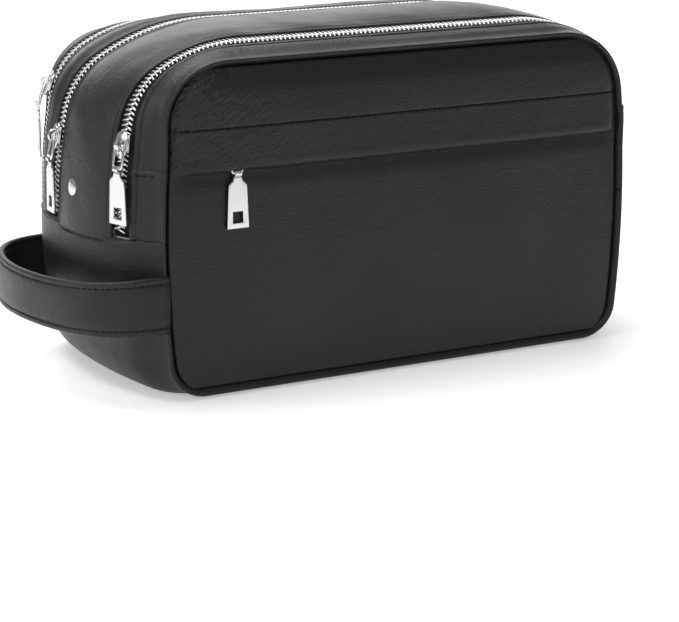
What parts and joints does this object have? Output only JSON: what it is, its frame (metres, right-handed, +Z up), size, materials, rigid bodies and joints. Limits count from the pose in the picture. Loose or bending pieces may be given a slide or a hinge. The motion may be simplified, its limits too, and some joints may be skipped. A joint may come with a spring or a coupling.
{
  "type": "shaving kit bag",
  "caption": "Soft rectangular leather toiletry bag with zipped compartments over its top, a zipped front pocket behind a welt and a carry strap on one end.",
  "frame": {"origin": "middle of the flat base, on the surface it stands on", "axes": "+X along the bag away from the carry strap, +Y from the front face to the back, +Z up"},
  "size_m": [0.3333, 0.1399, 0.175],
  "materials": {
    "leather": "fine-grained semi-matte black leather",
    "piping_leather": "black leather wrapped round cord",
    "strap_leather": "fine-grained black leather, stitched edges",
    "grey_lining": "light grey satin nylon",
    "pocket_cloth": "black nylon",
    "elastic": "black woven elastic",
    "mesh": "black ribbed mesh",
    "zip_tape": "black woven tape",
    "zip_teeth": "bright nickel",
    "nickel": "polished nickel plate",
    "board": "stiffener board"
  },
  "bodies": {
    "bag": {"base_board": "board", "centre_band": "leather", "centre_band_lining": "grey_lining", "front_divider": "grey_lining", "front_panel_lower": "leather", "front_piping_lower": "piping_leather", "front_zip_tape_back": "zip_tape", "front_zip_teeth_back": "zip_teeth", "handle_ends": "strap_leather", "lower_gusset": "leather", "lower_lining": "grey_lining", "main_zip_tape_front": "zip_tape", "main_zip_teeth_front": "zip_teeth", "mesh_pocket": "mesh", "mesh_zip_tapes": "zip_tape", "mesh_zip_teeth": "zip_teeth", "rear_divider_lower": "grey_lining", "rear_panel_lower": "leather", "rear_piping_lower": "piping_leather", "rivet": "nickel", "slip_pocket_lower": "pocket_cloth"},
    "rear_section": {"main_zip_tape_back": "zip_tape", "main_zip_teeth_back": "zip_teeth", "rear_band": "leather", "rear_divider_upper": "grey_lining", "rear_zip_tape_front": "zip_tape", "rear_zip_teeth_front": "zip_teeth", "slip_pocket_upper": "pocket_cloth"},
    "front_flap": {"elastic_straps": "elastic", "flap_lining": "grey_lining", "front_panel_pocket": "leather", "front_piping_upper": "piping_leather", "front_strip": "leather", "front_welt": "leather", "front_yoke": "leather", "front_zip_tape_front": "zip_tape", "front_zip_teeth_front": "zip_teeth", "pocket_lining": "grey_lining", "pocket_zip_tapes": "zip_tape", "pocket_zip_teeth": "zip_teeth"},
    "rear_flap": {"rear_flap_lining": "grey_lining", "rear_panel_upper": "leather", "rear_piping_upper": "piping_leather", "rear_strip": "leather", "rear_zip_tape_back": "zip_tape", "rear_zip_teeth_back": "zip_teeth"},
    "handle": {"handle_strap": "strap_leather"},
    "front_slider": {"front_zip_slider": "nickel"},
    "front_link": {"front_zip_link": "nickel"},
    "front_pull": {"front_zip_pull": "nickel"},
    "main_slider": {"main_zip_slider": "nickel"},
    "main_link": {"main_zip_link": "nickel"},
    "main_pull": {"main_zip_pull": "nickel"},
    "rear_slider": {"rear_zip_slider": "nickel"},
    "rear_link": {"rear_zip_link": "nickel"},
    "rear_pull": {"rear_zip_pull": "nickel"},
    "pocket_slider": {"pocket_zip_slider": "nickel"},
    "pocket_pull": {"pocket_zip_pull": "nickel"},
    "mesh_slider": {"mesh_zip_slider": "nickel"},
    "mesh_pull": {"mesh_zip_pull": "nickel"}
  },
  "joints": [
    {"name": "front_zip_travel", "type": "hinge", "parent": "bag", "child": "front_slider", "pos_m": [-0.07474, -0.047, 0.115], "axis": [0, 1, 0], "range_deg": [0, 20]},
    {"name": "front_link_swing", "type": "hinge", "parent": "front_slider", "child": "front_link", "pos_m": [-0.14502, -0.04856, 0.12549], "axis": [-0.3072, 0.9516, 0], "range_deg": [0, 100]},
    {"name": "front_pull_swing", "type": "hinge", "parent": "front_link", "child": "front_pull", "pos_m": [-0.14663, -0.04908, 0.11411], "axis": [-0.3072, 0.9516, 0], "range_deg": [0, 80]},
    {"name": "main_zip_travel", "type": "hinge", "parent": "bag", "child": "main_slider", "pos_m": [-0.07147, 0.016, 0.10734], "axis": [0, 1, 0], "range_deg": [0, 20]},
    {"name": "main_link_swing", "type": "hinge", "parent": "main_slider", "child": "main_link", "pos_m": [-0.15167, 0.01648, 0.12054], "axis": [0.0943, 0.9955, 0], "range_deg": [0, 100]},
    {"name": "main_pull_swing", "type": "hinge", "parent": "main_link", "child": "main_pull", "pos_m": [-0.15353, 0.01665, 0.10919], "axis": [0.0943, 0.9955, 0], "range_deg": [0, 80]},
    {"name": "rear_zip_travel", "type": "hinge", "parent": "rear_section", "child": "rear_slider", "pos_m": [-0.10273, 0.048, 0.12753], "axis": [0, 1, 0], "range_deg": [0, 35]},
    {"name": "rear_link_swing", "type": "hinge", "parent": "rear_slider", "child": "rear_link", "pos_m": [-0.1411, 0.04954, 0.14217], "axis": [0.316, 0.9488, 0], "range_deg": [0, 100]},
    {"name": "rear_pull_swing", "type": "hinge", "parent": "rear_link", "child": "rear_pull", "pos_m": [-0.14497, 0.05083, 0.13142], "axis": [0.316, 0.9488, 0], "range_deg": [0, 80]},
    {"name": "main_mouth", "type": "hinge", "parent": "bag", "child": "rear_section", "pos_m": [0, 0.069, 0.08], "axis": [-1, 0, 0], "range_deg": [0, 15]},
    {"name": "front_flap_fold", "type": "hinge", "parent": "bag", "child": "front_flap", "pos_m": [0, -0.069, 0.08], "axis": [1, 0, 0], "range_deg": [0, 110]},
    {"name": "rear_flap_fold", "type": "hinge", "parent": "rear_section", "child": "rear_flap", "pos_m": [0, 0.069, 0.08], "axis": [-1, 0, 0], "range_deg": [0, 60]},
    {"name": "handle_swing", "type": "hinge", "parent": "bag", "child": "handle", "pos_m": [-0.131, 0, 0.048], "axis": [0, 1, 0], "range_deg": [-8, 35], "stiffness_Nm_per_rad": 0.06},
    {"name": "pocket_zip_travel", "type": "slide", "parent": "front_flap", "child": "pocket_slider", "axis": [1, 0, 0], "range_m": [-0.014, 0.195]},
    {"name": "pocket_pull_swing", "type": "hinge", "parent": "pocket_slider", "child": "pocket_pull", "pos_m": [-0.093, -0.0693, 0.1105], "axis": [-1, 0, 0], "range_deg": [0, 75]},
    {"name": "mesh_zip_travel", "type": "slide", "parent": "bag", "child": "mesh_slider", "axis": [1, 0, 0], "range_m": [-0.19, 0.016]},
    {"name": "mesh_pull_swing", "type": "hinge", "parent": "mesh_slider", "child": "mesh_pull", "pos_m": [0.088, -0.0393, 0.1195], "axis": [-1, 0, 0], "range_deg": [0, 30]}
  ]
}
